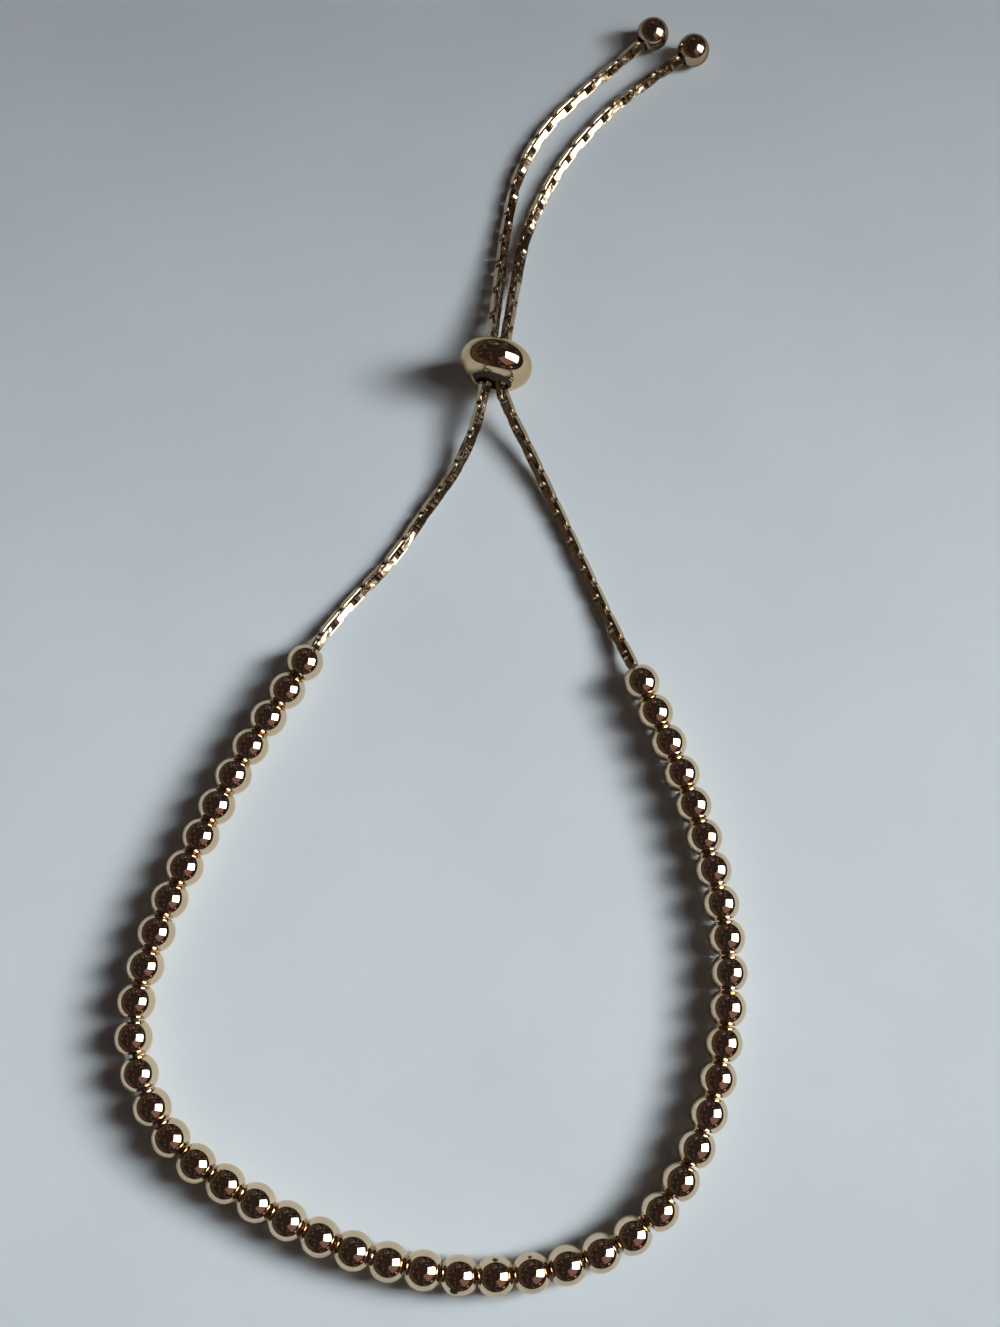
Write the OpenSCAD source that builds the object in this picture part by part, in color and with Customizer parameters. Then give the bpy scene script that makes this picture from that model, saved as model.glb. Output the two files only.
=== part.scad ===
// Bolo slider bracelet: a string of round metal beads closed by two fine chains.
// Both chains run through one slider bead, which grips them, and each ends in a small ball.
// It lies open on a flat surface at z = 0. +Y runs from the beads to the free ends.
// All sizes are in millimetres.

/* [Beads] */
// Diameter of a round bead
bead_d = 3.25; // [3.2:0.05:3.3]
// Length of a bead along its hole, between its two flat ends
bead_l = 2.77; // [2.7:0.01:2.78]
// Distance between the centres of two neighbouring beads
bead_pitch = 3; // [2.97:0.01:3]
// Number of beads on the string
bead_count = 47; // [40:1:47]
// Diameter of the hole drilled through a bead for the thread
bead_hole_d = 1.3; // [1.25:0.05:1.4]
// Diameter of the wider hole that takes the end of a chain
chain_hole_d = 1.5; // [1.45:0.05:1.6]

/* [Thread] */
// Diameter of the thread that the beads hang on
thread_d = 0.7; // [0.4:0.05:0.75]

/* [Chains] */
// Length of a link
link_l = 2.3; // [2.2:0.01:2.32]
// Width of a link over its two long sides
link_w = 1.06; // [1.04:0.01:1.08]
// Thickness of a link's wall
link_wall = 0.17; // [0.14:0.01:0.18]
// Depth of a link between its two flat faces
link_depth = 0.46; // [0.4:0.01:0.48]
// Radius of a link's rounded corners
link_corner = 0.3; // [0.25:0.01:0.35]
// Distance between the middles of two neighbouring links, before it is evened out
link_pitch = 1.5; // [1.47:0.01:1.5]
// Distance from the middle of a bead or ball to the end of the chain inside it
tuck = 0.35; // [0.3:0.05:0.5]

/* [Slider] */
// Largest diameter of the slider bead
slider_d = 6.9; // [6.8:0.1:7]
// Length of the slider bead along its hole
slider_l = 3.6; // [3.4:0.1:3.6]
// Diameter of the slider's hole
slider_hole_d = 3.7; // [3.6:0.1:3.8]
// How far the slider's hole is turned from the Y axis, in degrees
slider_turn = 12; // [10:1:14]
// Place of the slider's middle from left to right
slider_x = 5.2; // [5.1:0.1:5.3]
// Place of the slider's middle from the beads to the free ends
slider_y = 21.7; // [21.6:0.1:21.8]

/* [Grip] */
// Length of the rubber plug inside the slider
grip_l = 2.8; // [2:0.1:3]
// Gap all round between the plug and the slider's hole
grip_gap = 0.05; // [0.04:0.01:0.1]
// Diameter of the two grooves under the plug that the chains run in
groove_d = 1.6; // [1.6:0.05:1.7]
// Distance of each groove to the side of the slider's middle line
groove_side = 0.68; // [0.66:0.01:0.7]
// Distance of the grooves' middles below the slider's middle line
groove_drop = 0.8; // [0.78:0.01:0.82]

/* [End balls] */
// Diameter of the balls on the free ends
ball_d = 3.2; // [3.1:0.1:3.3]

/* [Hidden] */
// Facets round a circle
$fn = 48;
// Sides of the thread's section
thread_sides = 8;
// Steps between two points of a route
route_steps = 12;
// Distance over which a route's direction is read
reach = 0.6;

gold = [0.83, 0.69, 0.45];
dark_brown = [0.2, 0.13, 0.12];
thread_grey = [0.6, 0.6, 0.6];

// Clear height under a chain that lies on the surface, which its slight waves take up
under_chain = 0.03;
// Height of a link's middle when the chain lies on the surface, its links rolled by 45 degrees
lying = (link_w + link_depth) / 2 * sqrt(1 / 2) + under_chain;
// Distance from the middle of a bead or ball to the floor of the chain's hole
hole_floor = tuck - 0.15;
bead_z = bead_d / 2;
ball_z = ball_d / 2;
slider_z = slider_d / 2;
// Height of the chains in the slider's mouths, from its middle line
in_mouth = -0.95;
// How far along the hole a chain passes the slider's mouth
mouth = slider_l / 2 + 0.1;

// A place given from the slider's middle: across its hole, along it towards the free ends, and up
function by_slider(across, along, up) = [
    slider_x + across * cos(slider_turn) + along * sin(slider_turn),
    slider_y - across * sin(slider_turn) + along * cos(slider_turn),
    slider_z + up
];

// Routes. A smooth curve passes through all the points but the first and the last of a list,
// which only set its direction there.
bead_route = [
    [-10.5, -3, bead_z], [-12, -7, bead_z], [-16.5, -14.5, bead_z], [-20.5, -22.5, bead_z],
    [-24, -31, bead_z], [-25.5, -40, bead_z], [-22, -48, bead_z], [-15, -53, bead_z],
    [-6.5, -57, bead_z], [3, -59, bead_z], [12, -58, bead_z], [19, -54, bead_z],
    [23.5, -46, bead_z], [25.5, -36, bead_z], [25, -28, bead_z], [22.5, -18.5, bead_z],
    [18.5, -8.5, bead_z], [15.5, -1.5, bead_z]
];

left_loop = [
    [-10.6, -4.5, 1.2], [-8, -1, 0.68], [-4.4, 3.2, lying],
    [-1.2, 8, 0.65], [1.4, 11.9, 1], [3.2, 15.8, 1.75]
];
left_slider = [
    by_slider(-0.6, -mouth, in_mouth), by_slider(-0.85, mouth, -0.85)
];
left_tail = [
    [5.15, 27.5, 1.85], [5.6, 31.5, 1.2], [6.3, 37.5, 0.62], [7.6, 43.4, lying],
    [10.2, 48.5, lying], [14.2, 53, lying], [17.6, 56.1, 0.8], [21.2, 59.2, ball_z]
];

right_loop = [
    [17.4, -6, 1.2], [15.6, -2, 0.68], [12.7, 4.6, lying],
    [10.3, 9.9, 0.75], [8.3, 14.1, 1.35], [7.1, 16.4, 1.85], [6.2, 18.3, 2.4]
];
right_slider = [
    by_slider(0.92, -1.8, -0.72), by_slider(0.6, 0, -0.72), by_slider(0.4, mouth, in_mouth)
];
right_tail = [
    [6.6, 27.5, 1.85], [7.2, 31.3, 1.2], [8.3, 36.8, 0.65], [10.4, 41.9, lying],
    [13, 46.3, lying], [16.9, 51, lying], [21, 54.5, 0.75], [25.3, 57.4, ball_z]
];

// The point a share t of the way from b to c on a smooth curve through a, b, c and d
function between(a, b, c, d, t) =
    (2 * b + (c - a) * t + (2 * a - 5 * b + 4 * c - d) * t * t
        + (3 * b - a - 3 * c + d) * t * t * t) / 2;

// The smooth curve of a route as a line of short straight steps
function smooth(route) = [
    for (i = [1 : len(route) - 3]) for (step = [0 : route_steps - 1])
        between(route[i - 1], route[i], route[i + 1], route[i + 2], step / route_steps),
    route[len(route) - 2]
];

// The distance from a line's start to each of its points
function distances(line) = [
    for (i = 0, far = 0; i < len(line);
        far = far + (i + 1 < len(line) ? norm(line[i + 1] - line[i]) : 0), i = i + 1) far
];

// For each axis, a table from the distance along a line to the coordinate there
function charted(line) =
    let (far = distances(line))
    [for (axis = [0 : 2]) [for (i = [0 : len(line) - 1]) [far[i], line[i][axis]]]];

function far_end(chart) = chart[0][len(chart[0]) - 1][0];
function spot(chart, far) = [for (table = chart) lookup(far, table)];
function unit(v) = v / norm(v);
function heading(chart, far) = unit(spot(chart, far + reach) - spot(chart, far - reach));

// The same place beyond a point, as far as another lies before it
function mirrored(point, before) = 2 * point - before;

// The string of beads, from the left chain to the right chain
string = charted(smooth(bead_route));
string_l = (bead_count - 1) * bead_pitch;
function bead_centre(number) = spot(string, (number - 1) * bead_pitch);
first_bead = bead_centre(1);
last_bead = bead_centre(bead_count);

// A chain's whole route, from the middle of its bead to the middle of its end ball. Before the
// bead it is level, so the chain leaves the hole straight.
function chain_route(bead, loop, in_slider, tail) = concat(
    [[2 * bead.x - loop[0].x, 2 * bead.y - loop[0].y, loop[0].z]],
    [bead], loop, in_slider, tail,
    [mirrored(tail[len(tail) - 1], tail[len(tail) - 2])]
);
left_chain = charted(smooth(chain_route(first_bead, left_loop, left_slider, left_tail)));
right_chain = charted(smooth(chain_route(last_bead, right_loop, right_slider, right_tail)));

// The links share a chain evenly between the ends that are tucked into the bead and the ball
link_start = tuck + link_l / 2;
function link_steps(chain) = round((far_end(chain) - 2 * link_start) / link_pitch);
function link_far(chain, i) =
    link_start + i * (far_end(chain) - 2 * link_start) / link_steps(chain);

// The middle of everything, which the model is moved by, so that its origin is the middle of its
// bounding box, on the surface
bead_xs = [for (number = [1 : bead_count]) bead_centre(number).x];
bead_ys = [for (number = [1 : bead_count]) bead_centre(number).y];
left_end = spot(left_chain, far_end(left_chain));
middle = [
    (min(bead_xs) + max(bead_xs)) / 2,
    (min(bead_ys) - bead_d / 2 + left_end.y + ball_d / 2) / 2,
    0
];

function bead_name(number) = str("bead_", number < 10 ? "0" : "", number);

// Puts a shape that points along X at a place of the bracelet, pointing in a direction
module placed(point, direction) {
    translate(point - middle)
        rotate([0, -asin(direction.z), atan2(direction.y, direction.x)])
            children();
}

// A ball with flat ends, drilled along X, turned from its half section. The first hole starts at a
// distance from the middle, and the second, wider one is for a chain's end.
module drilled_ball(diameter, length, hole_d, from, wide_hole_d, wide_from) {
    rotate([0, 90, 0])
        rotate_extrude()
            difference() {
                intersection() {
                    circle(d = diameter);
                    translate([0, -length / 2])
                        square([diameter, length]);
                }
                translate([0, from])
                    square([hole_d / 2, diameter - from]);
                translate([0, wide_from])
                    square([wide_hole_d / 2, diameter]);
            }
}

// A bead drilled for the thread, with the wider hole for a chain's end on its +X side if asked
module drilled_bead(takes_chain) {
    color(gold)
        drilled_ball(
            bead_d, bead_l, bead_hole_d, -bead_d,
            chain_hole_d, takes_chain ? hole_floor : bead_d
        );
}

// One bead of the string. The two end beads point their wider hole at their chain, and are turned
// half way between the thread's direction and the chain's.
module bead(number) {
    if (number == 1)
        placed(first_bead, unit(heading(left_chain, link_start) - heading(string, 0)))
            drilled_bead(true);
    else if (number == bead_count)
        placed(last_bead, unit(heading(right_chain, link_start) + heading(string, string_l)))
            drilled_bead(true);
    else
        placed(bead_centre(number), heading(string, (number - 1) * bead_pitch))
            drilled_bead(false);
}

// The thread, a round tube of points swept from the first bead to the last
module core() {
    rings = bead_count;
    points = [
        for (ring = [0 : rings - 1])
            let (
                far = ring * string_l / (rings - 1),
                ahead = heading(string, far),
                side = unit(cross(ahead, [0, 0, 1]))
            )
            for (corner = [0 : thread_sides - 1])
                let (turn = corner * 360 / thread_sides)
                spot(string, far) - middle
                    + thread_d / 2 * (cos(turn) * side + [0, 0, sin(turn)])
    ];
    near_cap = [for (corner = [0 : thread_sides - 1]) corner];
    far_cap = [for (corner = [1 : thread_sides]) rings * thread_sides - corner];
    walls = [
        for (ring = [0 : rings - 2]) for (corner = [0 : thread_sides - 1])
            let (
                next = (corner + 1) % thread_sides,
                here = ring * thread_sides,
                there = here + thread_sides
            )
            each [
                [here + corner, there + corner, there + next],
                [here + corner, there + next, here + next]
            ]
    ];
    color(thread_grey)
        polyhedron(points = points, faces = concat([near_cap, far_cap], walls));
}

// A rectangle with rounded corners
module rounded(length, width, corner) {
    square([length - 2 * corner, width], center = true);
    square([length, width - 2 * corner], center = true);
    for (end = [-1, 1]) for (side = [-1, 1])
        translate([end * (length / 2 - corner), side * (width / 2 - corner)])
            circle(r = corner);
}

// One link: a long flat ring with rounded corners
module link() {
    linear_extrude(height = link_depth, center = true)
        difference() {
            rounded(link_l, link_w, link_corner);
            rounded(
                link_l - 2 * link_wall,
                link_w - 2 * link_wall,
                link_corner - link_wall
            );
        }
}

// One chain. Its links are rolled to one side and the other in turn, so that they interlock.
module strand(chain) {
    color(gold)
        for (i = [0 : link_steps(chain)]) {
            far = link_far(chain, i);
            placed(spot(chain, far), heading(chain, far))
                rotate([i % 2 == 0 ? 45 : -45, 0, 0])
                    link();
        }
}

// The slider bead: a ring whose section is nearly a half circle, round side out
module slider() {
    round_r = slider_l / 2;
    color(gold)
        placed(by_slider(0, 0, 0), [sin(slider_turn), cos(slider_turn), 0])
            rotate([0, 90, 0])
                rotate_extrude()
                    intersection() {
                        translate([slider_d / 2 - round_r, 0])
                            circle(r = round_r);
                        translate([slider_hole_d / 2, -slider_l])
                            square([slider_d, 2 * slider_l]);
                    }
}

// The rubber plug in the slider. It presses both chains down into the hole, in two grooves
// under it, and fills the hole above them.
module grip() {
    color(dark_brown)
        placed(by_slider(0, 0, 0), [sin(slider_turn), cos(slider_turn), 0])
            rotate([90, 0, 90])
                linear_extrude(height = grip_l, center = true)
                    difference() {
                        circle(d = slider_hole_d - 2 * grip_gap);
                        for (side = [-1, 1])
                            translate([side * groove_side, -groove_drop])
                                circle(d = groove_d);
                        translate([-slider_d / 2, -groove_drop - slider_d])
                            square(slider_d);
                    }
}

// The ball that closes a chain's free end, with a blind hole for its last link
module end_ball(chain) {
    back = -heading(chain, far_end(chain) - link_start);
    color(gold)
        placed(spot(chain, far_end(chain)), back)
            drilled_ball(
                ball_d, 2 * ball_d, chain_hole_d, hole_floor, chain_hole_d, hole_floor
            );
}

for (number = [1 : bead_count])
    bead(number);
core();
strand(left_chain);  // strand_left
strand(right_chain);  // strand_right
slider();
grip();
end_ball(left_chain);  // end_ball_left
end_ball(right_chain);  // end_ball_right
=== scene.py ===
"""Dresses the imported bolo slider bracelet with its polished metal, its rubber and its paper floor.

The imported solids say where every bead, link and ball sits. The beads, links, slider and end balls
are modelled afresh round them with bmesh operators, in metres. The plug is a copy of its solid,
drawn out and rounded. All of these take the place of their solids. The thread keeps its own.
"""

import logging
import math
from collections.abc import Iterator
from dataclasses import dataclass, field
from enum import Enum

import bmesh
import bpy
import numpy as np
from mathutils import Matrix, Vector


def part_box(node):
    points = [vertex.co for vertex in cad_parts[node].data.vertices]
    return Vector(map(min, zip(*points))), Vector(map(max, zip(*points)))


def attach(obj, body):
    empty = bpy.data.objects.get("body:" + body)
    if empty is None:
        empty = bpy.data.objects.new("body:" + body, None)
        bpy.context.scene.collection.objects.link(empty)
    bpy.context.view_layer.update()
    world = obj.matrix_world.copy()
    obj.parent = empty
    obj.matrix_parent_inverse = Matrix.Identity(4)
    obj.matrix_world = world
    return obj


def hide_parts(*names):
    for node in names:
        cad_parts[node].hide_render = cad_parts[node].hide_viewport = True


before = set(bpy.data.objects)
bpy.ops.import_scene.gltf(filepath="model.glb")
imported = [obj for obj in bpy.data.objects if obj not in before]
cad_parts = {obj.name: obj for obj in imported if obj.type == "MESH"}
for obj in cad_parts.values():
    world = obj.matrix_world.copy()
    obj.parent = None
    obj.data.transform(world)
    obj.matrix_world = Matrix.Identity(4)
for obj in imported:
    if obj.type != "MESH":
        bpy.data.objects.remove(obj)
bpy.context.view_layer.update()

MM = 0.001
WELD = 0.001 * MM  # corners that are closer than this are one
IN_PLANE = 0.01 * MM  # how far off its plane a rim's corner may be
FIT_ROUNDS = 4  # how often a ball's middle is fitted again
SKIN_SHARE = 0.93  # a ball's skin lies outside this share of its radius
ROUND_PROFILE = 0.5  # a bevel's profile that is a part of a circle
BODY = "root"
RECESS_SHADE = "recess"  # the attribute that weights the painted shade in a piece's recesses and holes, from 0 to 1
UP = Vector((0, 0, 1))
UP_THE_CHAINS = Vector((0, 1, 0))

log = logging.getLogger("bracelet")

Colour = tuple[float, float, float, float]
Triple = tuple[float, float, float]
Range = tuple[float, float]


class Slot(Enum):
    """The record's material slots. The thread keeps its solid, and with it its own slot."""

    BEADS = "bead_metal"
    CHAINS = "chain_metal"
    SLIDER = "slider_metal"
    BALLS = "ball_metal"
    PLUG = "rubber"


class Side(Enum):
    """The two halves of the bracelet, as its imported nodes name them."""

    LEFT = "left"
    RIGHT = "right"


class Sum(Enum):
    """What a Math node may do."""

    ADD = "ADD"
    SUBTRACT = "SUBTRACT"
    MULTIPLY = "MULTIPLY"


# Shader nodes, written as Python expressions


class Signal:
    """An output of a shader node. Operators on it add Math nodes."""

    def __init__(self, board: "Board", socket: bpy.types.NodeSocket) -> None:
        """Keeps the board that the socket is on."""
        self.board = board
        self.socket = socket

    def _sum(self, operation: Sum, first: "Feed", second: "Feed") -> "Signal":
        """Adds one Math node.

        Args:
            operation: What the node does.
            first: Its first value.
            second: Its second value.

        Returns:
            The node's result.
        """
        settings = {"operation": operation.value}
        return self.board.signal("ShaderNodeMath", settings, {0: first, 1: second})

    def __add__(self, other: "Feed") -> "Signal":
        """This value plus another."""
        return self._sum(Sum.ADD, self, other)

    def __radd__(self, other: "Feed") -> "Signal":
        """Another value plus this one."""
        return self._sum(Sum.ADD, other, self)

    def __sub__(self, other: "Feed") -> "Signal":
        """This value less another."""
        return self._sum(Sum.SUBTRACT, self, other)

    def __rsub__(self, other: "Feed") -> "Signal":
        """Another value less this one."""
        return self._sum(Sum.SUBTRACT, other, self)

    def __mul__(self, other: "Feed") -> "Signal":
        """This value times another."""
        return self._sum(Sum.MULTIPLY, self, other)


Feed = Signal | float | Vector | tuple


@dataclass(frozen=True)
class Patches:
    """Soft random patches.

    The noise has `waves` to a metre, with `detail` finer waves laid over it. The patches rise
    from 0 where the noise is `start` to 1 where it is `end`.
    """

    waves: float
    start: float
    end: float
    detail: float = 2.0


class Board:
    """The node tree of a material or of the world."""

    def __init__(self, tree: bpy.types.NodeTree) -> None:
        """Takes the tree and clears it."""
        self.tree = tree
        tree.nodes.clear()

    def node(
        self,
        kind: str,
        settings: dict[str, object] | None = None,
        inputs: dict[str | int, Feed] | None = None,
    ) -> bpy.types.Node:
        """Adds a node, sets it up and feeds its sockets.

        Args:
            kind: The node's type.
            settings: Its properties, which are set first.
            inputs: A value or a signal for each of its sockets, by name or number.

        Returns:
            The node.
        """
        node = self.tree.nodes.new(kind)
        for name, value in (settings or {}).items():
            setattr(node, name, value)
        for name, value in (inputs or {}).items():
            if isinstance(value, Signal):
                self.tree.links.new(value.socket, node.inputs[name])
            else:
                node.inputs[name].default_value = value
        return node

    def signal(
        self,
        kind: str,
        settings: dict[str, object] | None = None,
        inputs: dict[str | int, Feed] | None = None,
        output: str | int = 0,
    ) -> Signal:
        """Adds a node as node() does, and gives one of its outputs.

        Args:
            kind: The node's type.
            settings: Its properties.
            inputs: What its sockets take.
            output: The output's name or number.

        Returns:
            That output.
        """
        return Signal(self, self.node(kind, settings, inputs).outputs[output])

    def place(self) -> Signal:
        """The place on the piece, in metres."""
        return self.signal("ShaderNodeTexCoord", output="Object")

    def noise(self, place: Signal, waves: float, detail: float = 2.0) -> Signal:
        """A soft random value from 0 to 1.

        Args:
            place: Where it is read.
            waves: Waves to a metre.
            detail: How many finer waves are laid over it.

        Returns:
            The value.
        """
        inputs = {"Vector": place, "Scale": waves, "Detail": detail}
        return self.signal("ShaderNodeTexNoise", {}, inputs, "Fac")

    def stepped(self, value: Signal, start: float, end: float) -> Signal:
        """Eases from 0 at the start to 1 at the end, and stays there.

        Args:
            value: What is read.
            start: Where the rise starts.
            end: Where it ends.

        Returns:
            The eased value.
        """
        settings = {"interpolation_type": "SMOOTHSTEP"}
        inputs = {"Value": value, "From Min": start, "From Max": end}
        return self.signal("ShaderNodeMapRange", settings, inputs)

    def patches(self, place: Signal, patches: Patches) -> Signal:
        """Lays soft random patches.

        Args:
            place: Where they are read.
            patches: How they are laid.

        Returns:
            1 in a patch and 0 outside.
        """
        noise = self.noise(place, patches.waves, patches.detail)
        return self.stepped(noise, patches.start, patches.end)

    def mix(self, share: Feed, low: Feed, high: Feed) -> Signal:
        """Mixes two colours.

        Args:
            share: How much of the second colour there is.
            low: The first colour.
            high: The second colour.

        Returns:
            The mixed colour.
        """
        settings = {"data_type": "RGBA", "blend_type": "MIX"}
        return self.signal("ShaderNodeMix", settings, {0: share, 6: low, 7: high}, 2)

    def bump(self, height: Signal, depth: float, strength: float) -> Signal:
        """Turns a height into a normal.

        Args:
            height: The height, from 0 to 1.
            depth: What a height of 1 stands for, in metres.
            strength: How much of it shows.

        Returns:
            The normal.
        """
        inputs = {"Height": height, "Distance": depth, "Strength": strength}
        return self.signal("ShaderNodeBump", {}, inputs, "Normal")

    def principled(self, inputs: dict[str | int, Feed]) -> Signal:
        """A Principled shader with these inputs."""
        return self.signal("ShaderNodeBsdfPrincipled", {}, inputs)


# Finishes


def direction(turn: float, rise: float) -> Vector:
    """The direction that is turned from +X round Z and then raised, both in degrees."""
    turn, rise = math.radians(turn), math.radians(rise)
    level = math.cos(rise)
    return Vector((level * math.cos(turn), level * math.sin(turn), math.sin(rise)))


@dataclass(frozen=True)
class Finish:
    """A finish that every piece of one kind shares."""

    name: str

    def surface(self, board: Board) -> Signal:
        """Lays out the finish's nodes and gives its shader."""
        raise NotImplementedError

    def material(self) -> bpy.types.Material:
        """Makes the finish's material."""
        material = bpy.data.materials.new(self.name)
        material.use_nodes = True
        board = Board(material.node_tree)
        board.node("ShaderNodeOutputMaterial", {}, {"Surface": self.surface(board)})
        return material


@dataclass(frozen=True)
class Speck:
    """A dark speck on a round piece. Its direction is seen from the piece's middle."""

    node: str
    turn: float
    rise: float
    radius: float
    soft_from: float = 0.8
    soft_to: float = 1.1

    def place(self) -> Vector:
        """The speck's place on the piece's skin."""
        low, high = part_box(self.node)
        return (low + high) / 2 + direction(self.turn, self.rise) * (high.z - low.z) / 2

    def mask(self, board: Board, place: Signal, ragged: Signal) -> Signal:
        """Finds the speck.

        Args:
            board: Where the nodes go.
            place: The place on the piece.
            ragged: A factor near 1 that makes the speck's edge uneven.

        Returns:
            1 in the speck and 0 outside.
        """
        settings = {"operation": "DISTANCE"}
        inputs = {0: place, 1: self.place()}
        far = board.signal("ShaderNodeVectorMath", settings, inputs, "Value") * ragged
        return 1 - board.stepped(far, self.radius * self.soft_from, self.radius * self.soft_to)


@dataclass(frozen=True)
class PolishedGold(Finish):
    """Bright gold plating, with a faint drift of colour, hairline scratches, dark specks and painted
    shade in its recesses.
    """

    pale: Colour = (0.77, 0.62, 0.445, 1)
    warm: Colour = (0.74, 0.575, 0.395, 1)
    edge: Colour = (0.92, 0.84, 0.69, 1)
    # The colour of the painted shade in the recesses and of the dark specks.
    shade_and_speck: Colour = (0.10, 0.055, 0.03, 1)
    drift: Patches = Patches(160.0, 0.35, 0.65)
    # Patches that break up the painted shade in the recesses.
    darkening: Patches = Patches(2500.0, 0.2, 0.7)
    # Extra roughness over the painted recess shade and the specks.
    shade_and_speck_roughness: float = 0.5
    roughness: float = 0.045
    smudges: Patches = Patches(700.0, 0.45, 0.75, 4.0)
    smudge_roughness: float = 0.05
    hairs: Patches = Patches(1500.0, 0.64, 0.72, 3.0)
    hair_turn: Triple = (0.4, 0.9, 0.6)
    hair_thinness: Triple = (1, 9, 9)
    hair_roughness: float = 0.06
    hair_depth: float = 0.15
    ripples: float = 520.0
    ripple_detail: float = 1.0
    ripple_depth: float = 0.012 * MM
    ripple_strength: float = 0.1
    specks: tuple[Speck, ...] = ()
    ragged_waves: float = 4000.0
    ragged_low: float = 0.6
    ragged_span: float = 0.8

    def shade_and_speck_mask(self, board: Board, place: Signal) -> Signal:
        """Finds the painted shade, in patches, in the piece's recesses, and the dark specks that
        wear has left.

        Args:
            board: Where the nodes go.
            place: The place on the piece.

        Returns:
            1 in the painted shade and the specks, and 0 outside.
        """
        # Painted shade: the recess layer, broken up into patches.
        recess = board.signal("ShaderNodeAttribute", {"attribute_name": RECESS_SHADE}, {}, "Fac")
        mask = recess * board.patches(place, self.darkening)
        if self.specks:
            ragged = self.ragged_low + board.noise(place, self.ragged_waves) * self.ragged_span
            mask = mask + sum(speck.mask(board, place, ragged) for speck in self.specks)
        return mask

    def surface(self, board: Board) -> Signal:
        """Lays out the plating's nodes and gives its shader."""
        place = board.place()
        darkening = self.shade_and_speck_mask(board, place)
        metal = board.mix(board.patches(place, self.drift), self.pale, self.warm)
        smudges = board.patches(place, self.smudges)
        lines = {"Vector": place, "Rotation": self.hair_turn, "Scale": self.hair_thinness}
        hairs = board.patches(board.signal("ShaderNodeMapping", {}, lines), self.hairs)
        roughness = self.roughness + smudges * self.smudge_roughness
        roughness = roughness + hairs * self.hair_roughness + darkening * self.shade_and_speck_roughness
        ripples = board.noise(place, self.ripples, self.ripple_detail)
        height = ripples - hairs * self.hair_depth
        return board.principled(
            {
                # The painted shade in the recesses and the specks darken the gold.
                "Base Color": board.mix(darkening, metal, self.shade_and_speck),
                "Metallic": 1.0,
                "Roughness": roughness,
                "Specular Tint": self.edge,
                "Normal": board.bump(height, self.ripple_depth, self.ripple_strength),
            }
        )


@dataclass(frozen=True)
class DarkRubber(Finish):
    """Dull dark rubber with a fine moulded grain."""

    dark: Colour = (0.06, 0.027, 0.025, 1)
    worn: Colour = (0.10, 0.048, 0.042, 1)
    scuffs: Patches = Patches(1400.0, 0.45, 0.75, 4.0)
    roughness: float = 0.5
    scuff_roughness: float = 0.25
    grain: float = 9000.0
    grain_depth: float = 0.02 * MM
    grain_strength: float = 0.6

    def surface(self, board: Board) -> Signal:
        """Lays out the rubber's nodes and gives its shader."""
        place = board.place()
        scuffs = board.patches(place, self.scuffs)
        grain = board.noise(place, self.grain)
        return board.principled(
            {
                "Base Color": board.mix(scuffs, self.dark, self.worn),
                "Roughness": self.roughness + scuffs * self.scuff_roughness,
                "Normal": board.bump(grain, self.grain_depth, self.grain_strength),
            }
        )


@dataclass(frozen=True)
class SpunThread(Finish):
    """Tan spun thread, its fibres crossing it aslant, darkened as painted shade for the gaps between
    the beads where it shows.
    """

    # The thread's dark brown is painted shade for the narrow gaps between the beads, where it shows.
    pale: Colour = (0.16, 0.10, 0.06, 1)
    dark: Colour = (0.05, 0.03, 0.02, 1)
    fibres: float = 900.0
    fibre_bend: float = 3.0
    fibre_detail: float = 2.0
    fibre_depth: float = 0.04 * MM
    fibre_strength: float = 0.7
    roughness: float = 0.7
    fluff: float = 3000.0
    fluff_roughness: float = 0.2

    def surface(self, board: Board) -> Signal:
        """Lays out the thread's nodes and gives its shader."""
        place = board.place()
        settings = {"wave_type": "BANDS", "bands_direction": "DIAGONAL"}
        inputs = {
            "Vector": place,
            "Scale": self.fibres,
            "Distortion": self.fibre_bend,
            "Detail": self.fibre_detail,
        }
        fibres = board.signal("ShaderNodeTexWave", settings, inputs, "Fac")
        fluff = board.noise(place, self.fluff)
        return board.principled(
            {
                "Base Color": board.mix(fibres, self.dark, self.pale),
                "Roughness": self.roughness + fluff * self.fluff_roughness,
                "Normal": board.bump(fibres, self.fibre_depth, self.fibre_strength),
            }
        )


@dataclass(frozen=True)
class PalePaper(Finish):
    """Smooth pale paper, faintly clouded, with fine fibres."""

    pale: Colour = (0.755, 0.81, 0.85, 1)
    cloud: Colour = (0.72, 0.775, 0.815, 1)
    clouds: Patches = Patches(45.0, 0.3, 0.7, 3.0)
    fibres: float = 2600.0
    fibre_detail: float = 4.0
    fibre_depth: float = 0.02 * MM
    fibre_strength: float = 0.5
    roughness: float = 0.7
    fibre_roughness: float = 0.2

    def surface(self, board: Board) -> Signal:
        """Lays out the paper's nodes and gives its shader."""
        place = board.place()
        clouds = board.patches(place, self.clouds)
        fibres = board.noise(place, self.fibres, self.fibre_detail)
        return board.principled(
            {
                "Base Color": board.mix(clouds, self.pale, self.cloud),
                "Roughness": self.roughness + fibres * self.fibre_roughness,
                "Normal": board.bump(fibres, self.fibre_depth, self.fibre_strength),
            }
        )


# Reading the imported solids


def corners_of(node: str) -> np.ndarray:
    """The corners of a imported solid, one row each.

    Args:
        node: The solid's name.

    Returns:
        Their places in metres.
    """
    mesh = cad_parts[node].data
    places = np.empty(len(mesh.vertices) * 3)
    mesh.vertices.foreach_get("co", places)
    return places.reshape(-1, 3)


def main_axes(corners: np.ndarray) -> tuple[np.ndarray, np.ndarray]:
    """The directions in which a set of corners spreads.

    Args:
        corners: Their places, one row each.

    Returns:
        How far it spreads in each direction, least first, and the directions, one row each.
    """
    centred = corners - corners.mean(axis=0)
    spreads, columns = np.linalg.eigh(centred.T @ centred)
    return spreads, columns.T


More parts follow.
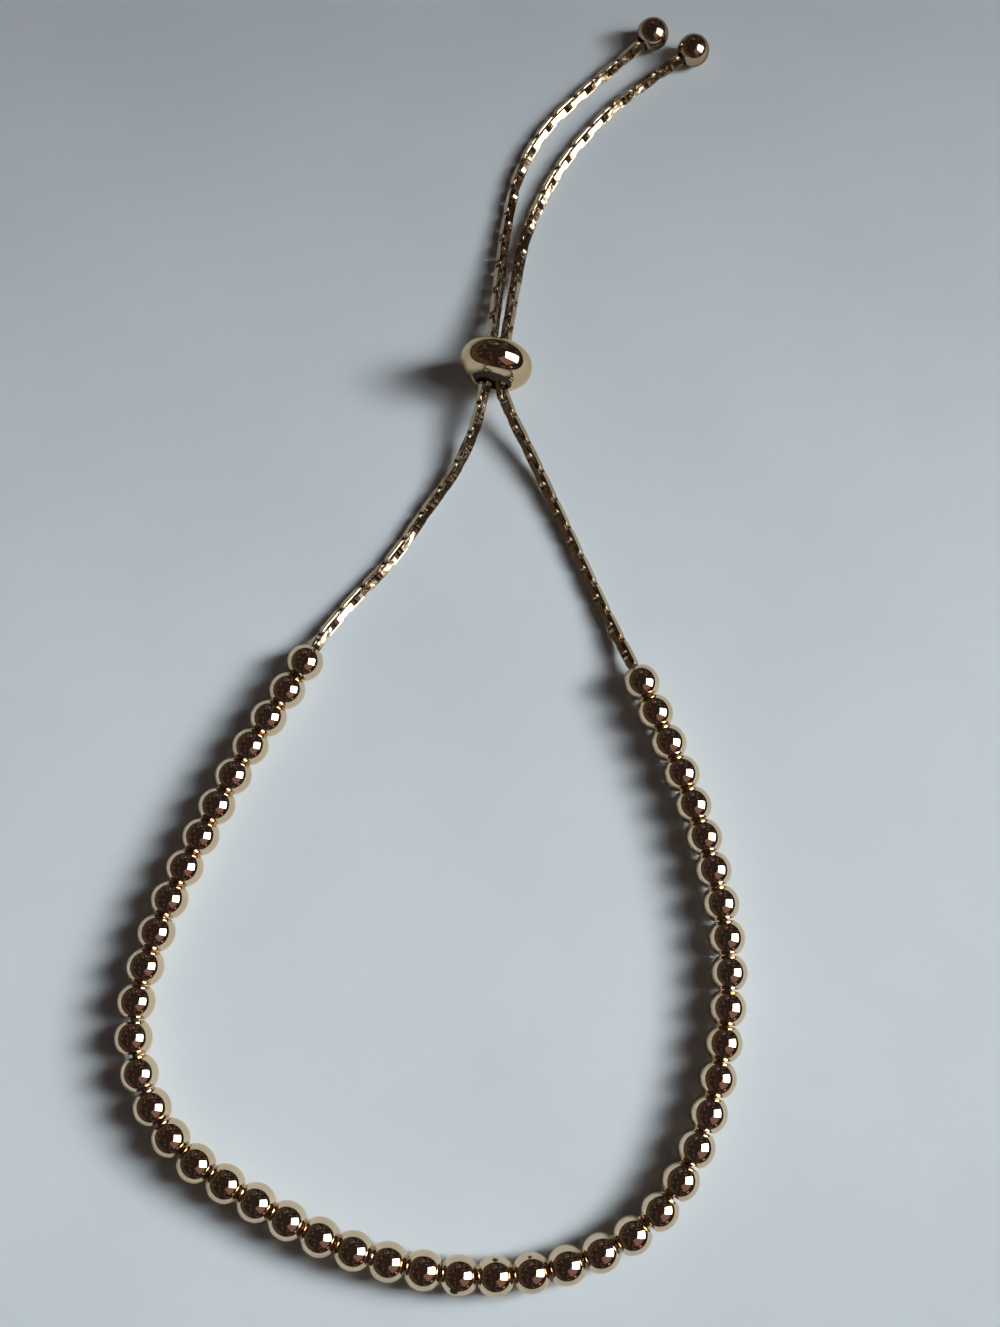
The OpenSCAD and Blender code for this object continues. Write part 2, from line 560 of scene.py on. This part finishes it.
def ball_middle(corners: np.ndarray, guess: np.ndarray, radius: float) -> np.ndarray:
    """Fits a ball's middle to the corners on its round skin.

    Args:
        corners: The ball's corners, one row each.
        guess: A place near its middle.
        radius: Its radius.

    Returns:
        The middle.
    """
    middle = guess
    for _ in range(FIT_ROUNDS):
        local = corners - middle
        skin = local[np.linalg.norm(local, axis=1) > SKIN_SHARE * radius]
        rows = np.c_[2 * skin, np.ones(len(skin))]
        middle = middle + np.linalg.lstsq(rows, (skin**2).sum(axis=1), rcond=None)[0][:3]
    return middle


@dataclass(frozen=True)
class Seat:
    """Where a shape with a hole along X sits: its middle, and where its X axis points."""

    middle: Vector
    axis: Vector

    @classmethod
    def of(cls, node: str, toward: Vector, radius: float = 0.0) -> "Seat":
        """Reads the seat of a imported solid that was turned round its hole.

        Args:
            node: The solid's name.
            toward: A point that the axis points towards.
            radius: A ball's radius, if the solid is a ball with unequal holes.

        Returns:
            The seat.
        """
        corners = corners_of(node)
        middle = (corners.min(axis=0) + corners.max(axis=0)) / 2
        if radius:
            middle = ball_middle(corners, middle, radius)
        spreads, axes = main_axes(corners)
        odd_one_out = axes[0] if spreads[1] - spreads[0] > spreads[2] - spreads[1] else axes[2]
        axis = Vector(odd_one_out).normalized()
        middle = Vector(middle)
        return cls(middle, -axis if axis.dot(toward - middle) < 0 else axis)

    def matrix(self) -> Matrix:
        """The matrix that puts a shape into the seat."""
        across = UP.cross(self.axis).normalized()
        turn = Matrix((self.axis, across, self.axis.cross(across))).transposed()
        return Matrix.Translation(self.middle) @ turn.to_4x4()


# Shaping and finishing


def rim_edges(bm: bmesh.types.BMesh, along: float) -> list[bmesh.types.BMEdge]:
    """The open edges of a shell that lie in a plane across X.

    Args:
        bm: The shell.
        along: Where the plane is on X.

    Returns:
        The edges.
    """
    return [
        edge
        for edge in bm.edges
        if edge.is_boundary and all(abs(v.co.x - along) < IN_PLANE for v in edge.verts)
    ]


def drawn_in(
    bm: bmesh.types.BMesh, rim: list[bmesh.types.BMEdge], along: float, shrink: float
) -> list[bmesh.types.BMEdge]:
    """Extrudes an open rim along X and narrows it.

    Args:
        bm: The shell.
        rim: The rim's edges.
        along: How far the new rim is moved.
        shrink: How much narrower it is, as a factor.

    Returns:
        The new rim's edges.
    """
    made = bmesh.ops.extrude_edge_only(bm, edges=rim)["geom"]
    verts = [item for item in made if isinstance(item, bmesh.types.BMVert)]
    bmesh.ops.scale(bm, vec=(1, shrink, shrink), verts=verts)
    bmesh.ops.translate(bm, vec=(along, 0, 0), verts=verts)
    edges = [item for item in made if isinstance(item, bmesh.types.BMEdge)]
    return [edge for edge in edges if edge.is_boundary]


@dataclass(frozen=True)
class Rounding:
    """How sharp edges are rounded.

    Edges that turn by more than `turn` degrees are cut `reach` metres back, and get a rounding
    of `segments` faces.
    """

    turn: float
    reach: float
    segments: int

    def apply(self, bm: bmesh.types.BMesh) -> None:
        """Rounds the edges of a shape."""
        least = math.radians(self.turn)
        sharp = [edge for edge in bm.edges if edge.is_manifold and edge.calc_face_angle() > least]
        bmesh.ops.bevel(
            bm,
            geom=sharp,
            offset=self.reach,
            offset_type="OFFSET",
            segments=self.segments,
            profile=ROUND_PROFILE,
            affect="EDGES",
            material=-1,
            clamp_overlap=True,
        )


def added(name: str, data: bpy.types.ID) -> bpy.types.Object:
    """Makes an object of its data and adds it to the scene."""
    item = bpy.data.objects.new(name, data)
    bpy.context.scene.collection.objects.link(item)
    return item


def made_object(
    bm: bmesh.types.BMesh, name: str, material: bpy.types.Material
) -> bpy.types.Object:
    """Makes a shape into an object of the scene.

    Args:
        bm: The shape, in its place. It is freed.
        name: The object's name.
        material: Its finish.

    Returns:
        The object.
    """
    mesh = bpy.data.meshes.new(name)
    bm.to_mesh(mesh)
    bm.free()
    mesh.materials.append(material)
    return added(name, mesh)


def finished_piece(
    bm: bmesh.types.BMesh,
    name: str,
    material: bpy.types.Material,
    node: str,
    slot: Slot,
) -> None:
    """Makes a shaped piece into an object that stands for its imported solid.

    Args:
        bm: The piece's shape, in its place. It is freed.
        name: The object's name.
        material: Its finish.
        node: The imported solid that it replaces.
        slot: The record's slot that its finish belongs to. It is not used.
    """
    piece = made_object(bm, name, material)
    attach(piece, BODY)
    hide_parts(node)
    log.info("%s stands for %s: %d faces", name, node, len(piece.data.polygons))


@dataclass(frozen=True)
class DrilledBall:
    """A ball with a hole along X. It may be drawn out along X, and may have flat ends.

    The hole may be wider from +X down to `step`. A blind hole stops there, and -X has no hole.
    """

    diameter: float
    hole: float
    wide_hole: float
    flats: Range | None = None
    stretch: float = 1.0
    step: float | None = None
    blind: bool = False
    lip: Rounding = Rounding(22, 0.05 * MM, 3)
    rounds: int = 64
    rings: int = 44
    blind_end: float = 0.5
    recess_start: float = 0.15 * MM
    recess_depth: float = 0.3 * MM

    def mouth(self, bm: bmesh.types.BMesh, sign: int) -> list[bmesh.types.BMEdge]:
        """Cuts one end off the ball, and closes a flat end's cut to the hole with a ring.

        Args:
            bm: The ball.
            sign: Which end it is, 1 for +X or -1 for -X.

        Returns:
            The edges round the hole's mouth.
        """
        radius = self.diameter / 2
        hole = (self.wide_hole if sign > 0 else self.hole) / 2
        end = math.sqrt(radius**2 - hole**2) * self.stretch
        if self.flats:
            end = min(end, self.flats[1 if sign > 0 else 0])
        bmesh.ops.bisect_plane(
            bm,
            geom=bm.verts[:] + bm.edges[:] + bm.faces[:],
            plane_co=(end * sign, 0, 0),
            plane_no=(sign, 0, 0),
            clear_outer=True,
        )
        bmesh.ops.remove_doubles(bm, verts=bm.verts, dist=WELD)
        rim = rim_edges(bm, end * sign)
        if not self.flats:
            return rim
        return drawn_in(bm, rim, 0.0, hole / math.sqrt(radius**2 - (end / self.stretch) ** 2))

    def shape(self) -> bmesh.types.BMesh:
        """Builds the ball at the origin.

        Returns:
            Its closed shell, with the depth inside the hole in its recess layer, which sets how much
            painted shade darkens the hole.
        """
        bm = bmesh.new()
        radius = self.diameter / 2
        bmesh.ops.create_uvsphere(
            bm, u_segments=self.rounds, v_segments=self.rings, radius=radius
        )
        bmesh.ops.rotate(bm, matrix=Matrix.Rotation(math.pi / 2, 3, "Y"), verts=bm.verts)
        bmesh.ops.scale(bm, vec=(self.stretch, 1, 1), verts=bm.verts)
        far_mouth = [] if self.blind else self.mouth(bm, -1)
        inner = self.mouth(bm, 1)
        if self.step is not None:
            inner = drawn_in(bm, inner, self.step - inner[0].verts[0].co.x, 1.0)
            if not self.blind:
                inner = drawn_in(bm, inner, 0.0, self.hole / self.wide_hole)
        if self.blind:
            inner = drawn_in(bm, inner, 0.0, self.blind_end)
            bmesh.ops.holes_fill(bm, edges=inner, sides=0)
        else:
            bmesh.ops.bridge_loops(bm, edges=inner + far_mouth)
        bmesh.ops.recalc_face_normals(bm, faces=bm.faces)
        for face in bm.faces:
            face.smooth = True
        self.lip.apply(bm)
        # The recess layer weights the painted shade inside the hole: 0 near the skin, rising to 1
        # deeper in.
        depth = bm.verts.layers.float.new(RECESS_SHADE)
        for vert in bm.verts:
            inside = (radius - self.recess_start - vert.co.length) / self.recess_depth
            vert[depth] = min(1.0, max(0.0, inside))
        return bm

    def seated(self, seat: Seat) -> bmesh.types.BMesh:
        """Builds the ball in its seat."""
        bm = self.shape()
        bmesh.ops.transform(bm, matrix=seat.matrix(), verts=bm.verts)
        return bm


# The sub-assemblies


@dataclass
class BeadString:
    """The string of polished beads on their thread. Its end beads also hold the chains."""

    count: int = 47
    diameter: float = 3.25 * MM
    length: float = 2.77 * MM
    clearance: float = 0.03 * MM
    stretch: float = 1.05
    hole: float = 1.1 * MM
    chain_hole: float = 1.5 * MM
    chain_hole_floor: float = 0.2 * MM
    finish: PolishedGold = field(
        default_factory=lambda: PolishedGold(
            "polished_bead_gold",
            specks=(
                Speck("bead_25", -112, 43, 0.36 * MM),
                Speck("bead_26", 92, 31, 0.25 * MM),
                Speck("bead_27", 98, 33, 0.18 * MM),
            ),
        )
    )
    thread_finish: SpunThread = field(default_factory=lambda: SpunThread("spun_thread"))

    def nodes(self) -> list[str]:
        """The beads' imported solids, from the left chain to the right one."""
        return [f"bead_{number:02d}" for number in range(1, self.count + 1)]

    def holds_chain(self, index: int) -> bool:
        """Whether a bead is at an end of the string."""
        return index in (0, self.count - 1)

    def seats(self) -> list[Seat]:
        """The seat of each bead, in order. All point from the left chain to the right one."""
        names = self.nodes()
        middles = [sum(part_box(name), Vector()) / 2 for name in names]
        middles.append(2 * middles[-1] - middles[-2])
        seats = []
        for index, name in enumerate(names):
            radius = self.diameter / 2 if self.holds_chain(index) else 0.0
            seats.append(Seat.of(name, middles[index + 1], radius))
        return seats

    def reach(self, seat: Seat, other: Seat) -> float:
        """How far a bead's flat end may be from its middle, so that it clears its neighbour.

        Args:
            seat: The bead's seat.
            other: Its neighbour's seat.

        Returns:
            The distance.
        """
        apart = other.middle - seat.middle
        bend = max(apart.angle(seat.axis), apart.angle(other.axis))
        bend = min(bend, math.pi - bend)
        along, across = self.stretch * math.cos(bend), math.sin(bend)
        share = (apart.length - self.clearance) / self.diameter / math.hypot(along, across)
        rim = math.atan2(across, along) + math.acos(share)
        return self.diameter / 2 * self.stretch * math.cos(rim)

    def build(self) -> None:
        """Builds and dresses the beads, and dresses the thread."""
        material = self.finish.material()
        seats = self.seats()
        reaches = [self.reach(one, two) for one, two in zip(seats, seats[1:])]
        reaches = [self.length / 2, *reaches, self.length / 2]
        for index, (node, seat) in enumerate(zip(self.nodes(), seats)):
            flats = (reaches[index], reaches[index + 1])
            if index == 0:
                seat, flats = Seat(seat.middle, -seat.axis), flats[::-1]
            holds_chain = self.holds_chain(index)
            ball = DrilledBall(
                diameter=self.diameter,
                hole=self.hole,
                wide_hole=self.chain_hole if holds_chain else self.hole,
                flats=flats,
                stretch=self.stretch,
                step=self.chain_hole_floor if holds_chain else None,
            )
            finished_piece(ball.seated(seat), f"polished_{node}", material, node, Slot.BEADS)
        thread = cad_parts["core"]
        thread.data.materials.clear()
        thread.data.materials.append(self.thread_finish.material())
        log.info("core keeps its solid, in spun thread")


@dataclass
class LinkChain:
    """One chain of flat-sided links, from its bead through the slider to its free end.

    `leans` gives places up the chain, in millimetres of Y, and how far it has rolled over to its
    left there, in degrees.
    """

    side: Side
    length: float = 2.94 * MM
    width: float = 1.07 * MM
    wall: float = 0.22 * MM
    depth: float = 0.6 * MM
    corner: float = 0.46 * MM
    corner_segments: int = 3
    softness: Rounding = Rounding(60, 0.06 * MM, 1)
    flat_from: float = 0.06 * MM * MM
    inside_recess: float = 0.9
    end_recess: float = 0.2
    end_from: float = 0.55
    leans: dict[Side, tuple[Range, ...]] = field(
        default_factory=lambda: {
            Side.LEFT: (
                (-7, 2), (-2, 8), (4, 6), (8, -4), (14, -4), (17, 4),
                (24, 2), (36, 0), (42, 7), (50, 6), (54, -2), (58, -8),
            ),
            Side.RIGHT: (
                (-7, 0), (8, 0), (12, 5), (18, 2), (30, 0),
                (38, 7), (48, 6), (52, -2), (57, -8),
            ),
        }
    )
    finish: PolishedGold = field(
        default_factory=lambda: PolishedGold(
            "link_gold",
            # A darker copy of the gold: painted shade for the dark room that the links' faces
            # reflect, and tarnish.
            pale=(0.64, 0.52, 0.35, 1),
            warm=(0.52, 0.395, 0.26, 1),
            roughness=0.09,
            smudge_roughness=0.08,
            ripples=1300.0,
            ripple_depth=0.35 * MM,
        )
    )

    def link(self) -> bmesh.types.BMesh:
        """Builds one link at the origin, its length along X and its flat sides across Z."""
        bm = bmesh.new()
        bmesh.ops.create_grid(bm, x_segments=1, y_segments=1, size=0.5)
        bmesh.ops.scale(bm, vec=(self.length, self.width, 1), verts=bm.verts)
        bmesh.ops.bevel(
            bm,
            geom=bm.verts[:],
            offset=self.corner,
            offset_type="OFFSET",
            segments=self.corner_segments,
            profile=ROUND_PROFILE,
            affect="VERTICES",
            material=-1,
        )
        inner = bm.faces[:]
        bmesh.ops.inset_individual(
            bm, faces=inner, thickness=self.wall, use_even_offset=True
        )
        bmesh.ops.delete(bm, geom=inner, context="FACES")
        bmesh.ops.solidify(bm, geom=bm.faces[:], thickness=self.depth)
        bmesh.ops.remove_doubles(bm, verts=bm.verts, dist=WELD)
        bmesh.ops.recalc_face_normals(bm, faces=bm.faces)
        heights = [vert.co.z for vert in bm.verts]
        bmesh.ops.translate(bm, vec=(0, 0, -(min(heights) + max(heights)) / 2), verts=bm.verts)
        self.softness.apply(bm)
        # The recess layer weights the painted shade: strong on the inner walls, rising towards the
        # ends where the links overlap.
        depth = bm.verts.layers.float.new(RECESS_SHADE)
        for vert in bm.verts:
            to_end = (abs(vert.co.x) / self.length * 2 - self.end_from) / (1 - self.end_from)
            inside = self.inside_recess if abs(vert.co.y) < self.width / 2 - self.wall else 0.0
            vert[depth] = inside + self.end_recess * max(0.0, to_end)
        for face in bm.faces:
            face.smooth = face.calc_area() < self.flat_from
        return bm

    def lean(self, up_the_chain: float) -> float:
        """How far the chain has rolled over to its left, where it lies.

        Args:
            up_the_chain: The place's Y, in metres.

        Returns:
            The angle, in radians.
        """
        places, angles = zip(*self.leans[self.side])
        return math.radians(float(np.interp(up_the_chain / MM, places, angles)))

    def islands(self) -> Iterator[np.ndarray]:
        """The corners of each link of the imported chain.

        Yields:
            One link's corners, one row each.
        """
        bm = bmesh.new()
        bm.from_mesh(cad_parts[f"strand_{self.side.value}"].data)
        bmesh.ops.remove_doubles(bm, verts=bm.verts, dist=WELD)
        waiting = set(bm.verts)
        while waiting:
            edge_of_island = [waiting.pop()]
            island = list(edge_of_island)
            while edge_of_island:
                vert = edge_of_island.pop()
                for edge in vert.link_edges:
                    other = edge.other_vert(vert)
                    if other in waiting:
                        waiting.remove(other)
                        edge_of_island.append(other)
                        island.append(other)
            yield np.array([vert.co[:] for vert in island])
        bm.free()

    def link_matrix(self, corners: np.ndarray) -> Matrix:
        """The matrix that puts a link where a packed one is.

        Args:
            corners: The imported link's corners, one row each.

        Returns:
            The matrix.
        """
        middle = Vector(corners.mean(axis=0))
        _, axes = main_axes(corners)
        along, across = Vector(axes[2]), Vector(axes[1])
        along = -along if along.y < 0 else along
        turn = Matrix((along, across, along.cross(across))).transposed().to_4x4()
        lean = Matrix.Rotation(-self.lean(middle.y), 4, along)
        return Matrix.Translation(middle) @ lean @ turn

    def build(self) -> None:
        """Builds and dresses the chain."""
        link = self.link()
        pattern = bpy.data.meshes.new("link_pattern")
        link.to_mesh(pattern)
        link.free()
        chain = bmesh.new()
        for corners in self.islands():
            first = len(chain.verts)
            chain.from_mesh(pattern)
            chain.verts.ensure_lookup_table()
            bmesh.ops.transform(
                chain, matrix=self.link_matrix(corners), verts=chain.verts[first:]
            )
        bpy.data.meshes.remove(pattern)
        side = self.side.value
        finished_piece(
            chain, f"link_chain_{side}", self.finish.material(), f"strand_{side}", Slot.CHAINS
        )


@dataclass
class SliderBead:
    """The slider bead, and the rubber plug inside it that grips both chains."""

    diameter: float = 6.9 * MM
    length: float = 3.6 * MM
    hole: float = 3.7 * MM
    lip: Rounding = Rounding(35, 0.16 * MM, 4)
    section_points: int = 72
    rounds: int = 112
    recess_margin: float = 0.02 * MM
    plug_stretch: float = 1.16
    plug_edge: Rounding = Rounding(50, 0.08 * MM, 2)
    plug_merge_turn: float = 1.0
    plug_flat_from: float = 1 * MM * MM
    finish: PolishedGold = field(
        default_factory=lambda: PolishedGold(
            "slider_gold",
            pale=(0.76, 0.60, 0.37, 1),
            warm=(0.70, 0.53, 0.32, 1),
            roughness=0.035,
        )
    )
    rubber: DarkRubber = field(default_factory=lambda: DarkRubber("dark_rubber"))

    def ring(self) -> bmesh.types.BMesh:
        """Builds the round-sided ring with its hole along X."""
        bm = bmesh.new()
        section_radius = self.length / 2
        turned = Matrix.Rotation(math.pi / 2, 4, "X")
        raised = Matrix.Translation((0, 0, self.diameter / 2 - section_radius)) @ turned
        bmesh.ops.create_circle(
            bm, segments=self.section_points, radius=section_radius, matrix=raised
        )
        cut = bmesh.ops.bisect_plane(
            bm,
            geom=bm.verts[:] + bm.edges[:],
            plane_co=(0, 0, self.hole / 2),
            plane_no=(0, 0, -1),
            clear_outer=True,
        )["geom_cut"]
        ends = [item for item in cut if isinstance(item, bmesh.types.BMVert)]
        bmesh.ops.contextual_create(bm, geom=ends)
        bmesh.ops.spin(
            bm,
            geom=bm.verts[:] + bm.edges[:],
            cent=(0, 0, 0),
            axis=(1, 0, 0),
            angle=math.tau,
            steps=self.rounds,
            use_merge=True,
        )
        bmesh.ops.remove_doubles(bm, verts=bm.verts, dist=WELD)
        bmesh.ops.recalc_face_normals(bm, faces=bm.faces)
        for face in bm.faces:
            face.smooth = True
        self.lip.apply(bm)
        # The recess layer lays painted shade over the whole bore.
        depth = bm.verts.layers.float.new(RECESS_SHADE)
        for vert in bm.verts:
            across = math.hypot(vert.co.y, vert.co.z)
            vert[depth] = 1.0 if across < self.hole / 2 + self.recess_margin else 0.0
        return bm

    def plug(self, seat: Matrix) -> bmesh.types.BMesh:
        """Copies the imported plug, draws it out to the slider's mouths and rounds its edges.

        Args:
            seat: The matrix of the slider's seat.

        Returns:
            The plug's shape, in its place.
        """
        bm = bmesh.new()
        bm.from_mesh(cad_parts["grip"].data)
        longer = seat @ Matrix.Diagonal((self.plug_stretch, 1, 1, 1)) @ seat.inverted()
        bmesh.ops.transform(bm, matrix=longer, verts=bm.verts)
        bmesh.ops.remove_doubles(bm, verts=bm.verts, dist=WELD)
        bmesh.ops.dissolve_limit(
            bm,
            angle_limit=math.radians(self.plug_merge_turn),
            verts=bm.verts[:],
            edges=bm.edges[:],
        )
        self.plug_edge.apply(bm)
        for face in bm.faces:
            face.smooth = face.calc_area() < self.plug_flat_from
        return bm

    def build(self) -> None:
        """Builds and dresses the slider bead and its plug."""
        seat = Seat.of("slider", UP_THE_CHAINS).matrix()
        ring = self.ring()
        bmesh.ops.transform(ring, matrix=seat, verts=ring.verts)
        finished_piece(ring, "round_slider", self.finish.material(), "slider", Slot.SLIDER)
        plug = self.plug(seat)
        finished_piece(plug, "rubber_plug", self.rubber.material(), "grip", Slot.PLUG)


@dataclass
class EndBalls:
    """The balls that close the chains' free ends."""

    diameter: float = 3.2 * MM
    hole: float = 1.5 * MM
    hole_floor: float = 0.2 * MM
    finish: PolishedGold = field(
        default_factory=lambda: PolishedGold(
            "end_ball_gold",
            # A darker copy of the gold, with a dark edge tint: painted shade for the darker
            # surroundings that the end balls reflect, and some tarnish.
            pale=(0.56, 0.42, 0.29, 1),
            warm=(0.50, 0.36, 0.24, 1),
            edge=(0.30, 0.21, 0.14, 1),
            roughness=0.12,
        )
    )

    def build(self) -> None:
        """Builds and dresses both balls."""
        material = self.finish.material()
        ball = DrilledBall(
            self.diameter, self.hole, self.hole, step=self.hole_floor, blind=True
        )
        for side in Side:
            node = f"end_ball_{side.value}"
            low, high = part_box(f"strand_{side.value}")
            seat = Seat.of(node, (low + high) / 2, self.diameter / 2)
            finished_piece(
                ball.seated(seat), f"polished_{node}", material, node, Slot.BALLS
            )


DAYLIGHT: Triple = (0.92, 0.975, 1.0)
WINDOW_SIZE: Range = (0.164, 0.239)


@dataclass(frozen=True)
class Lamp:
    """A soft flat lamp, in metres and watts. It hangs in a direction from the floor's middle.

    It may light matt surfaces only, or show in glossy ones only.
    """

    name: str
    turn: float
    rise: float
    far: float
    size: Range
    power: float
    colour: Triple
    aim: Triple = (0.0, 0.0, 0.0)
    spread: float = 180.0
    on_matt: bool = True
    in_gloss: bool = True

    def hang(self) -> None:
        """Adds the lamp to the scene."""
        light = bpy.data.lights.new(self.name, "AREA")
        light.shape = "RECTANGLE"
        light.size, light.size_y = self.size
        light.energy = self.power
        light.color = self.colour
        light.spread = math.radians(self.spread)
        lamp = added(self.name, light)
        lamp.visible_diffuse = self.on_matt
        lamp.visible_glossy = self.in_gloss
        lamp.location = self.far * direction(self.turn, self.rise)
        away = lamp.location - Vector(self.aim)
        lamp.rotation_euler = away.to_track_quat("Z", "Y").to_euler()
        log.info("lamp %s hangs %.2f m away", self.name, self.far)


@dataclass
class Studio:
    """The paper floor, the dim room, the lamps and the camera.

    Two lamps are the window as it lights the floor, and one is the window as the metal shows it.
    """

    floor_size: float = 1.6
    floor_height: float = -0.02 * MM
    floor_squares: int = 8
    paper: PalePaper = field(default_factory=lambda: PalePaper("pale_paper"))
    room: Colour = (0.024, 0.017, 0.016, 1)
    room_glow: Colour = (0.110, 0.090, 0.086, 1)
    furniture: Patches = Patches(4.0, 0.5, 0.68, 3.0)
    table: Colour = (0.085, 0.062, 0.048, 1)
    table_left: Range = (-0.1, -0.6)
    table_low: Range = (0.55, 0.3)
    clutter: Patches = Patches(9.0, 0.35, 0.65, 4.0)
    clutter_share: float = 0.6
    overhead: Colour = (0.028, 0.017, 0.016, 1)
    overhead_rise: Range = (0.74, 0.92)
    overhead_share: float = 0.6
    backdrop: Colour = (0.42, 0.45, 0.48, 1)
    camera_place: Triple = (0.600 * MM, -39.409 * MM, 133.95 * MM)
    camera_tilt: float = 13.76
    camera_roll: float = -2.17
    camera_clip: float = 5 * MM
    lens: float = 40.69
    sensor: float = 36.0
    lamps: tuple[Lamp, ...] = (
        Lamp(
            "window", turn=2, rise=41, far=0.41, size=WINDOW_SIZE, power=0.200,
            colour=DAYLIGHT, aim=(-0.16, -0.079, 0), spread=42, in_gloss=False,
        ),
        Lamp(
            "window_wide", turn=2, rise=41, far=0.41, size=WINDOW_SIZE, power=0.51,
            colour=DAYLIGHT, in_gloss=False,
        ),
        Lamp(
            "window_glow", turn=-5, rise=42, far=0.41, size=(0.265, 0.33), power=1.8,
            colour=(0.97, 0.98, 1.0), on_matt=False,
        ),
        Lamp(
            "warm_wall", turn=-52, rise=46, far=0.4, size=(0.26, 0.30), power=0.05,
            colour=(1.0, 0.62, 0.60), on_matt=False,
        ),
        Lamp(
            "warm_pane", turn=-57, rise=14, far=0.4, size=(0.05, 0.06), power=0.0066,
            colour=(1.0, 0.45, 0.4), on_matt=False,
        ),
        Lamp(
            "far_pane", turn=86, rise=36, far=0.4, size=(0.07, 0.07), power=0.0046,
            colour=(0.75, 0.6, 1.0), on_matt=False,
        ),
    )

    def floor(self) -> None:
        """Lays the sheet of paper."""
        bm = bmesh.new()
        squares = self.floor_squares
        bmesh.ops.create_grid(
            bm, x_segments=squares, y_segments=squares, size=self.floor_size / 2
        )
        bmesh.ops.translate(bm, vec=(0, 0, self.floor_height), verts=bm.verts)
        floor = made_object(bm, "paper_floor", self.paper.material())

    def world(self) -> None:
        """Makes the room dim in reflections, and pale where the camera sees past the floor."""
        world = bpy.data.worlds.new("dim_room")
        world.use_nodes = True
        board = Board(world.node_tree)
        toward = board.signal("ShaderNodeTexCoord", output="Generated")
        split = board.node("ShaderNodeSeparateXYZ", {}, {0: toward})
        across, height = Signal(board, split.outputs[0]), Signal(board, split.outputs[2])
        dim = board.mix(board.patches(toward, self.furniture), self.room, self.room_glow)
        clutter = board.patches(toward, self.clutter) * self.clutter_share
        table = board.stepped(across, *self.table_left) * board.stepped(height, *self.table_low)
        dim = board.mix(table * (1 - self.clutter_share + clutter), dim, self.table)
        above = board.stepped(height, *self.overhead_rise)
        dim = board.mix(above * self.overhead_share, dim, self.overhead)
        seen = board.signal("ShaderNodeLightPath", output="Is Camera Ray")
        colour = board.mix(seen, dim, self.backdrop)
        surface = board.signal("ShaderNodeBackground", {}, {"Color": colour, "Strength": 1.0})
        board.node("ShaderNodeOutputWorld", {}, {"Surface": surface})
        bpy.context.scene.world = world

    def camera(self) -> None:
        """Sets up the camera."""
        data = bpy.data.cameras.new("camera")
        data.lens = self.lens
        data.sensor_width = self.sensor
        data.clip_start = self.camera_clip
        camera = added("camera", data)
        camera.location = self.camera_place
        tilt, roll = math.radians(self.camera_tilt), math.radians(self.camera_roll)
        camera.rotation_euler = (tilt, roll, 0)
        bpy.context.scene.camera = camera

    def build(self) -> None:
        """Sets up the whole studio."""
        bpy.context.scene.view_settings.view_transform = "Standard"
        self.floor()
        self.world()
        for lamp in self.lamps:
            lamp.hang()
        self.camera()


def main() -> None:
    """Builds the bracelet's sub-assemblies in order, then the studio."""
    logging.basicConfig(level=logging.INFO, format="%(message)s")
    BeadString().build()
    for side in Side:
        LinkChain(side).build()
    SliderBead().build()
    EndBalls().build()
    Studio().build()


if __name__ == "__main__":
    main()
